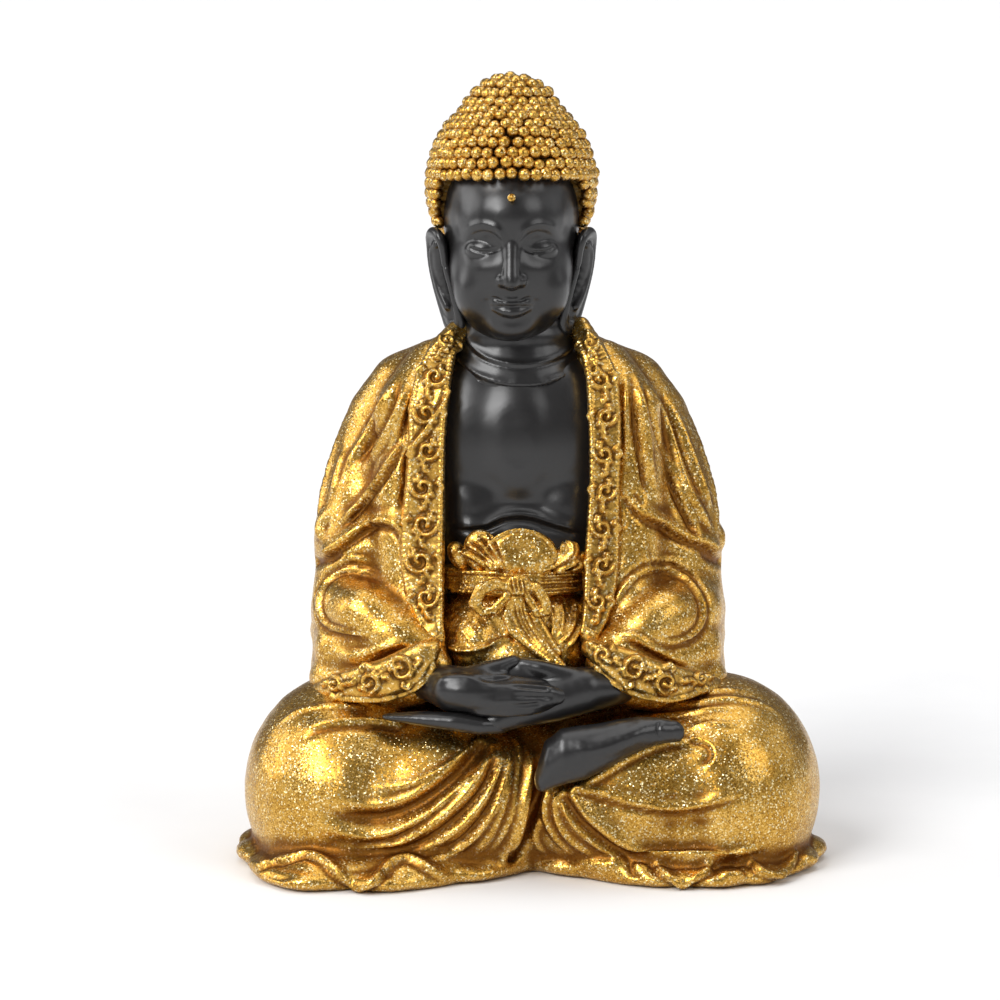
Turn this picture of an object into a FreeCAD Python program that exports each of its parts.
"""Seated meditation figure, hollow cast resin, as separate castings bonded face to face.

Row frame: millimetres, +Z up, origin at the middle of the underside. The figure looks along -Y,
so its own right hand is at -X. "left" and "right" are always the figure's own.
"""
import FreeCAD, Part

import math
import os

from FreeCAD import Vector

# ---- driving dimensions ---------------------------------------------------------------------
HEIGHT = 281.0           # floor to the top of the hair
WIDTH = 212.0            # across the robe hem at the knees
DEPTH = 142.0            # front hem to back hem
WALL = 5.0               # wall of the hollow castings
BODY_X = -5.0            # centre line of the torso, a little off the middle of the hem
HEAD_X = -7.5            # centre line of the head
FELT = 1.0               # felt sheet under the base
PLATE = 3.0              # closing plate of the hollow body
PLATE_INSET = 7.0        # how far the plate and the felt stay inside the hem
HEM_HEIGHT = 15.0        # turned-out hem of the robe where it meets the floor
HEM_TAPER = 5.0          # how far the hem draws in over its height
SPIGOT_RADIUS = 9.0      # neck spigot that locates the head
SPIGOT_LENGTH = 12.0
SPIGOT_GAP = 0.1         # glue gap round the spigot
URNA_RADIUS = 1.6        # gilt dot on the forehead
SLIVER = 0.02            # share of a piece's volume under which a trimmed scrap is dropped
LUMP_LEVELS = 7          # sections through an egg-shaped solid
LUMP_CAP = 20.0          # degrees from its pole where its small flat end starts

BASE_TOP = FELT + PLATE
LEFT, RIGHT = 1, -1


# ---- shape helpers --------------------------------------------------------------------------
def oval(centre, across, up, half_across, half_up, squareness=2.0, count=16):
    """Closed smooth wire: an ellipse at squareness 2, with fuller corners above that."""
    points = []
    for i in range(count):
        angle = 2 * math.pi * i / count
        c, s = math.cos(angle), math.sin(angle)
        u = math.copysign(abs(c) ** (2 / squareness), c) * half_across
        v = math.copysign(abs(s) ** (2 / squareness), s) * half_up
        points.append(centre + across * u + up * v)
    curve = Part.BSplineCurve()
    curve.interpolate(Points=points, PeriodicFlag=True)
    return Part.Wire([curve.toShape()])


def stack(levels, x, squareness=2.0):
    """Solid through level ovals, given as (height, middle in Y, half width, half depth)."""
    east, north = Vector(1, 0, 0), Vector(0, 1, 0)
    wires = [oval(Vector(x, y, z), east, north, a, b, squareness) for z, y, a, b in levels]
    return Part.makeLoft(wires, True, False)


def limb(stations, across=Vector(1, 0, 0), squareness=2.0):
    """Solid along a path, given as (x, y, z, half size along `across`, half size square to it)."""
    places = [Vector(*s[:3]) for s in stations]
    wires = []
    for i, (x, y, z, half_across, half_up) in enumerate(stations):
        ahead = places[min(i + 1, len(places) - 1)] - places[max(i - 1, 0)]
        ahead.normalize()
        side = across - ahead * across.dot(ahead)
        side.normalize()
        wires.append(oval(Vector(x, y, z), side, ahead.cross(side), half_across, half_up, squareness))
    return Part.makeLoft(wires, True, False)


def lump(centre, radii, lean=0.0):
    """Egg-shaped solid with its radii along X, Y and Z, leaning by degrees about the Y axis."""
    across, deep, tall = radii
    levels = []
    for i in range(LUMP_LEVELS):
        angle = math.radians(LUMP_CAP + (180 - 2 * LUMP_CAP) * i / (LUMP_LEVELS - 1))
        levels.append((-tall * math.cos(angle), 0, across * math.sin(angle), deep * math.sin(angle)))
    solid = stack(levels, 0)
    solid.rotate(Vector(0, 0, 0), Vector(0, 1, 0), lean)
    solid.translate(Vector(*centre))
    return solid


def box(low, high):
    """Block between two corners."""
    size = Vector(*high) - Vector(*low)
    return Part.makeBox(size.x, size.y, size.z, Vector(*low))


def side_x(side, offset):
    """X of a point that lies `offset` out from the torso's centre line on one side."""
    return BODY_X + side * offset


def tidy(shape):
    """Largest solids of a trimmed shape, without the scraps that a cut leaves."""
    solids = shape.Solids
    whole = sum(s.Volume for s in solids)
    kept = [s for s in solids if s.Volume > SLIVER * whole]
    return kept[0] if len(kept) == 1 else Part.makeCompound(kept)


def trim(shape, *others):
    """Shape with the space that its neighbours fill taken off, so that they meet face to face."""
    for other in others:
        if shape.BoundBox.intersect(other.BoundBox):
            shape = shape.cut(other)
    return tidy(shape)


# ---- base -----------------------------------------------------------------------------------
# Plan of the hem, as (share of half the width, share of half the depth), from the front middle.
HEM_PLAN = [(0, -0.84), (0.24, -0.95), (0.45, -1.0), (0.66, -0.96), (0.86, -0.76), (0.985, -0.42),
            (0.985, -0.05), (0.88, 0.33), (0.70, 0.66), (0.44, 0.90), (0, 1.0)]


def hem_outline(inset, z):
    """Plan of the figure where it meets the floor, drawn in by `inset`."""
    half_width, half_depth = WIDTH / 2 - inset, DEPTH / 2 - inset
    mirrored = [(-u, v) for u, v in HEM_PLAN[-2:0:-1]]
    points = [Vector(u * half_width, v * half_depth, z) for u, v in HEM_PLAN + mirrored]
    curve = Part.BSplineCurve()
    curve.interpolate(Points=points, PeriodicFlag=True)
    reach = Part.Wire([curve.toShape()]).optimalBoundingBox()
    fit = FreeCAD.Matrix()
    fit.scale(2 * half_width / reach.XLength, 2 * half_depth / reach.YLength, 1.0)
    curve.transform(fit)
    return Part.Wire([curve.toShape()])


def slab(inset, low, high):
    """Plate with the plan of the hem, drawn in by `inset`."""
    return Part.Face(hem_outline(inset, low)).extrude(Vector(0, 0, high - low))


def hem_solid():
    """The turned-out hem as a solid block, before the pieces inside it are taken out."""
    levels = [hem_outline(1.5, 0), hem_outline(0, 4.5), hem_outline(HEM_TAPER * 0.4, 10),
              hem_outline(HEM_TAPER, HEM_HEIGHT)]
    return Part.makeLoft(levels, True, False)


# ---- lap: the folded legs under the robe ----------------------------------------------------
# (distance out from the middle of the hem, front, back, bottom, top); what lies under the base
# plate is cut away, so that the sides come down steeply
LAP_STATIONS = [(0, -58, 63, -16, 56), (25, -64, 62, -18, 60), (50, -67, 56, -20, 64),
                (72, -65, 40, -20, 64), (86, -60, 25, -14, 60), (95, -53, 10, -8, 52),
                (101, -44, -2, 0, 42), (103.5, -36, -12, 10, 33)]
HOLLOW_STATIONS = 6      # how many of them the hollow inside follows
LAP_FULLNESS = 2.6


def lap_block(side, wall=0.0):
    """One half of the lap as a solid, or with a wall thickness taken off all round."""
    stations = LAP_STATIONS[: HOLLOW_STATIONS if wall else None]
    mirrored = [(-out, *rest) for out, *rest in stations[:0:-1]]
    wires = []
    for out, front, back, bottom, top in mirrored + stations:
        middle = Vector(out, (front + back) / 2, (bottom + top) / 2)
        wires.append(oval(middle, Vector(0, 1, 0), Vector(0, 0, 1),
                          (back - front) / 2 - wall, (top - bottom) / 2 - wall, LAP_FULLNESS))
    near, far = sorted((0, side * WIDTH))
    half = box((near, -DEPTH, BASE_TOP), (far, DEPTH, HEIGHT))
    return Part.makeLoft(wires, True, False).common(half)


def lap(side):
    """Hollow casting of one knee, thigh and shin under the robe, open below and to the torso."""
    return trim(lap_block(side), lap_block(side, WALL), torso_hollow())


# ---- torso ----------------------------------------------------------------------------------
TORSO_LEVELS = [(28, 24, 52, 38), (50, 24, 50, 38), (75, 20, 51, 36), (100, 15, 49, 34), (125, 13, 47, 33),
                (150, 13, 49, 31), (165, 14, 47, 28), (175, 14, 39, 25), (183, 13, 28, 21),
                (190, 12, 19, 17)]
CHEST_LEVELS = [(72, -14, 25, 27), (98, -10, 25, 23), (118, -8, 25.5, 22), (135, -5, 26, 20),
                (150, -3, 26, 20.5), (165, 0, 24, 20), (176, 3, 20, 17), (184, 5, 18, 16)]
NECK_LEVELS = [(184, 4, 17.5, 15.5), (190, 2, 16.5, 15), (197, 1, 16, 14.5), (204, 1, 16, 14.5)]


def torso_hollow():
    """Space inside the torso, from the hollow of the lap up to the shoulders."""
    passage = [(BASE_TOP + PLATE, 14, 30, 22), (60, 16, 38, 26)]
    inner = passage + [(z, y, a - WALL, b - WALL) for z, y, a, b in TORSO_LEVELS[2:-4]]
    front = [(z, y, a - WALL, b - WALL) for z, y, a, b in CHEST_LEVELS[:-3]]
    return stack(inner, BODY_X).fuse(stack(front, BODY_X))


def neck():
    """Neck with the spigot that locates the head."""
    top = NECK_LEVELS[-1][0]
    spigot = Part.makeCylinder(SPIGOT_RADIUS, SPIGOT_LENGTH, Vector(HEAD_X, 1, top))
    return stack(NECK_LEVELS, (BODY_X + HEAD_X) / 2).fuse(spigot)


# ---- head -----------------------------------------------------------------------------------
HEAD_LEVELS = [(191.5, -21, 8, 6), (196, -15, 15, 14), (204, -9, 20.5, 22), (215, -4, 23, 28),
               (230, -1, 24, 31), (245, 0, 24.5, 31), (258, 1, 21, 26), (267, 1, 12, 15)]
HAIR_LEVELS = [(206, 12, 25, 24), (216, 8, 29.5, 29), (230, 4, 31.5, 33), (243, 2, 32, 35),
               (257, 2, 29, 32), (269, 3, 21, 23), (276, 4, 14.5, 15), (HEIGHT, 5, 5, 5)]
HAIRLINE_FRONT, HAIRLINE_SLOPE = 245.0, 28.0
FOREHEAD_Y, URNA_Z = -31.8, 238.0


def head():
    """Head with the socket for the neck's spigot."""
    socket_top = NECK_LEVELS[-1][0] + SPIGOT_LENGTH
    socket = Part.makeCylinder(SPIGOT_RADIUS + SPIGOT_GAP, SPIGOT_LENGTH * 2,
                               Vector(HEAD_X, 1, socket_top - SPIGOT_LENGTH * 2))
    return stack(HEAD_LEVELS, HEAD_X).cut(socket)


def hair_cap():
    """Cap of curled hair with its crown, open over the face and the ears."""
    front = HAIR_LEVELS[3][1] - HAIR_LEVELS[3][3]
    opening = box((-WIDTH, 0, -HEIGHT), (WIDTH, DEPTH, 0))
    opening.translate(Vector(0, -DEPTH / 4, 0))
    opening.rotate(Vector(0, 0, 0), Vector(1, 0, 0), -HAIRLINE_SLOPE)
    opening.translate(Vector(0, front, HAIRLINE_FRONT))
    return stack(HAIR_LEVELS, HEAD_X).cut(opening)


def ear(side):
    """Long-lobed ear, given by its path down from the temple."""
    path = [(27, 3, 228, 1.5, 4), (29.5, 4, 220, 2.5, 7), (26, 3, 208, 2.5, 6.5),
            (21.5, 0, 197, 3, 4.5), (19.5, -2, 190, 3, 4), (18.5, -2, 187, 1.5, 2)]
    return limb([(HEAD_X + side * out, *rest) for out, *rest in path])


def urna():
    """Small gilt bead let into the forehead."""
    return Part.makeSphere(URNA_RADIUS, Vector(HEAD_X, FOREHEAD_Y, URNA_Z))


# ---- arms and robe trim ---------------------------------------------------------------------
# (height, distance out, middle in Y, half width, half depth)
SLEEVE_LEVELS = [(56, 52, -8, 21, 22), (72, 53.5, -7, 20.5, 22), (90, 54, -3, 20.5, 21),
                 (110, 52.5, 3, 20, 21), (130, 50, 8, 19, 21), (148, 46.5, 11, 18, 20),
                 (162, 41, 13, 17.5, 18), (172, 34, 14, 15, 15), (180, 27, 14, 8, 8)]
# (distance out, y, z, half width, half thickness)
LAPEL_PATH = [(20, 16, 190, 6, 2), (25, 0, 185, 6.5, 2.5), (29.5, -14, 172, 7, 3),
              (31, -21, 152, 7.5, 3), (31.5, -25, 128, 7.5, 3), (32.5, -29, 104, 7.5, 3),
              (31, -35, 84, 7, 3), (29, -38, 76, 5.5, 2.5)]


def sleeve(side):
    """Wide sleeve over the upper arm, the elbow and the forearm."""
    east, north = Vector(1, 0, 0), Vector(0, 1, 0)
    wires = [oval(Vector(side_x(side, out), y, z), east, north, a, b)
             for z, out, y, a, b in SLEEVE_LEVELS]
    forearm = [(side_x(side, out), y, z, a, b) for out, y, z, a, b in
               [(52, -10, 80, 14, 15), (46, -28, 76, 13, 13), (38, -42, 72, 10, 10)]]
    return Part.makeLoft(wires, True, False).fuse(limb(forearm))


def cuff(side):
    """Embroidered cuff of the sleeve, spread over the thigh."""
    low = [(72, -22, 66, 8, 6), (60, -36, 67, 9, 7), (46, -45, 69, 9, 8), (33, -45, 74, 8, 8),
           (27, -42, 79, 5, 5)]
    return limb([(side_x(side, out), y, z, a, b) for out, y, z, a, b in low], Vector(0, 1, 0))


def lapel(side):
    """Embroidered band that edges the open front of the robe, from the nape to the waist."""
    return limb([(side_x(side, out), *rest) for out, *rest in LAPEL_PATH], squareness=3.0)


# ---- waist ----------------------------------------------------------------------------------
def front_band(levels, thickness):
    """Curved plate across the front of the waist, between the lapels."""
    outer = stack(levels, BODY_X)
    inner = stack([(z, y, a - thickness, b - thickness) for z, y, a, b in levels], BODY_X)
    behind = box((-WIDTH, levels[0][1], 0), (WIDTH, DEPTH, HEIGHT))
    return outer.cut(inner).cut(behind)


def waist_wrap():
    """Apron of cloth below the sash."""
    return front_band([(66, -16, 27, 31), (80, -14, 26.5, 29), (97.5, -12, 26.5, 25)], WALL)


def sash_band():
    """Flat sash round the waist."""
    return front_band([(97.5, -12, 27, 26.5), (106, -11, 27, 26)], WALL)


def waist_petals():
    """Cloth gathered above the sash, like a row of petals."""
    middle = lump((BODY_X, -31, 112), (14, 5, 10.5))
    flanks = [lump((side_x(s, 17), -27, 109), (9, 5, 7), s * 25) for s in (LEFT, RIGHT)]
    return middle.fuse(flanks)


KNOT = (-8, -41, 101.5)
KNOT_RADIUS = 4.4
LOOP_RADIUS, LOOP_THICKNESS = 4.0, 3.6
LOOP_OFFSET, LOOP_DROP = 6.5, 4.5


def sash_knot():
    """Knot of the sash with its two bow loops."""
    knot = Part.makeSphere(KNOT_RADIUS, Vector(*KNOT))
    for side in (LEFT, RIGHT):
        centre = Vector(KNOT[0] + side * LOOP_OFFSET, KNOT[1], KNOT[2] - LOOP_DROP)
        knot = knot.fuse(Part.makeTorus(LOOP_RADIUS, LOOP_THICKNESS / 2, centre, Vector(0, 1, 0)))
    return knot


def sash_tail():
    """Free ends of the sash, hanging from the knot towards the left hand."""
    return limb([(-6, -40, 98, 2, 2), (-1, -44, 90, 4, 2.5), (6, -47, 82, 5, 2.5),
                 (13, -48, 77, 4, 2)])


# ---- hands and feet -------------------------------------------------------------------------
UPRIGHT = Vector(0, 0, 1)


def hand_right():
    """Lower hand of the pair, palm up, its fingers under the other hand."""
    return limb([(-41, -42, 69, 7, 6), (-33, -50, 67, 9.5, 8), (-20, -56, 64.5, 10, 8.5),
                 (-5, -58, 62, 8.5, 7.5), (8, -58, 61, 6, 5.5), (16, -57, 61, 4, 4)], UPRIGHT)


def hand_left():
    """Upper hand of the pair, lying in the palm of the other, thumbs meeting above."""
    return limb([(33, -42, 69, 7, 6), (24, -50, 67, 9, 8), (12, -54, 68, 9, 7.5),
                 (-2, -54, 71, 7.5, 6.5), (-12, -53, 73, 5, 5)], UPRIGHT)


def foot_front():
    """Foot that lies on the far thigh, sole up."""
    return limb([(4, -58, 42, 10, 7), (12, -60, 46, 10, 7), (25, -60, 50, 7.5, 6),
                 (40, -59, 53, 6, 5.5), (50, -58, 54, 4.5, 4.5), (53, -57, 54, 2, 2)], UPRIGHT)


def foot_rear():
    """Other foot, of which only the edge shows under the lower hand."""
    return limb([(-46, -52, 57, 4, 5), (-34, -56, 56, 6, 6), (-18, -59, 54, 6, 6),
                 (-8, -58, 53, 4, 5)], UPRIGHT)


def centre_drape():
    """Bundle of folds that falls between the crossed shins."""
    return limb([(-9, -56, 50, 10, 5), (-7, -63, 38, 9, 6), (-6, -64, 24, 8.5, 6),
                 (-8, -64, 12, 8, 6), (-11, -63, 6, 7, 5)])


# ---- assembly -------------------------------------------------------------------------------
def build():
    """Every casting by name, each trimmed to the ones that it is bonded to."""
    felt = slab(PLATE_INSET, 0, FELT)
    plate = slab(PLATE_INSET, FELT, BASE_TOP)
    lap_blocks = {side: lap_block(side) for side in (LEFT, RIGHT)}
    both_laps = list(lap_blocks.values())
    lap_cores = [lap_block(side, WALL) for side in (LEFT, RIGHT)]
    head_solid, neck_solid = head(), neck()
    torso = stack(TORSO_LEVELS, BODY_X)
    hollow = torso_hollow()
    chest_block = stack(CHEST_LEVELS, BODY_X)
    chest = trim(chest_block, hollow, *both_laps)
    hair = trim(hair_cap(), stack(HEAD_LEVELS, HEAD_X))

    made = {"felt_base": felt, "base_plate": plate, "chest": chest, "hair_cap": hair}
    made["head"] = head_solid
    made["neck"] = trim(neck_solid, head_solid)
    made["urna"] = trim(urna(), head_solid)
    for side, name in ((LEFT, "left"), (RIGHT, "right")):
        made["lap_" + name] = lap(side)
        made["ear_" + name] = trim(ear(side), stack(HEAD_LEVELS, HEAD_X), hair, neck_solid)

    hem = trim(hem_solid(), slab(PLATE_INSET, 0, BASE_TOP), *both_laps, *lap_cores)
    drape = trim(centre_drape(), *both_laps)
    for side, name in ((LEFT, "left"), (RIGHT, "right")):
        low, high = sorted((0, side * WIDTH))
        half = hem.common(box((low, -DEPTH, 0), (high, DEPTH, HEIGHT)))
        made["hem_" + name] = trim(half, drape)
    made["centre_drape"] = drape

    sleeves = {side: trim(sleeve(side), *both_laps) for side in (LEFT, RIGHT)}
    body = trim(torso, hollow, chest_block, neck_solid, *both_laps)
    lapels = {side: trim(lapel(side), chest_block, neck_solid) for side in (LEFT, RIGHT)}
    for side, name in ((LEFT, "left"), (RIGHT, "right")):
        made["lapel_" + name] = lapels[side]
        made["sleeve_" + name] = trim(sleeves[side], torso, lapels[side], chest_block)
    made["robe_body"] = trim(body, *lapels.values())

    hands = {"hand_right": trim(hand_right(), *both_laps)}
    hands["hand_left"] = trim(hand_left(), *both_laps, hands["hand_right"])
    sleeve_solids = [made["sleeve_left"], made["sleeve_right"]]
    for name, solid in hands.items():
        made[name] = trim(solid, *sleeve_solids)
    both_hands = [made["hand_left"], made["hand_right"]]
    made["foot_front"] = trim(foot_front(), *both_laps, drape, *both_hands)
    made["foot_rear"] = trim(foot_rear(), *both_laps, drape, *both_hands, made["foot_front"])
    made["centre_drape"] = trim(drape, made["foot_front"], made["foot_rear"], *both_hands)
    for side, name in ((LEFT, "left"), (RIGHT, "right")):
        made["cuff_" + name] = trim(cuff(side), *both_laps, *sleeve_solids, *both_hands,
                                    *lapels.values(), made["foot_rear"], chest_block)

    cuffs = [made["cuff_left"], made["cuff_right"]]
    around = [chest_block, *lapels.values(), *both_laps, *sleeve_solids, *both_hands, *cuffs]
    made["waist_wrap"] = trim(waist_wrap(), *around, body)
    made["sash_band"] = trim(sash_band(), *around, body)
    bands = [made["waist_wrap"], made["sash_band"]]
    made["waist_petals"] = trim(waist_petals(), *around, body, *bands)
    made["sash_knot"] = trim(sash_knot(), *around, *bands, made["waist_petals"])
    made["sash_tail"] = trim(sash_tail(), *around, *bands, made["sash_knot"])
    return made


def main():
    os.makedirs("parts", exist_ok=True)
    for name, shape in build().items():
        if not shape.isValid():
            print("not valid:", name)
        shape.exportStep(f"parts/{name}.step")
        reach = shape.optimalBoundingBox()
        print(f"{name:13s} {len(shape.Solids)} solid  {shape.Volume / 1000:7.1f} cm3  "
              f"x {reach.XMin:6.1f} {reach.XMax:6.1f}  y {reach.YMin:6.1f} {reach.YMax:6.1f}  "
              f"z {reach.ZMin:6.1f} {reach.ZMax:6.1f}")


main()
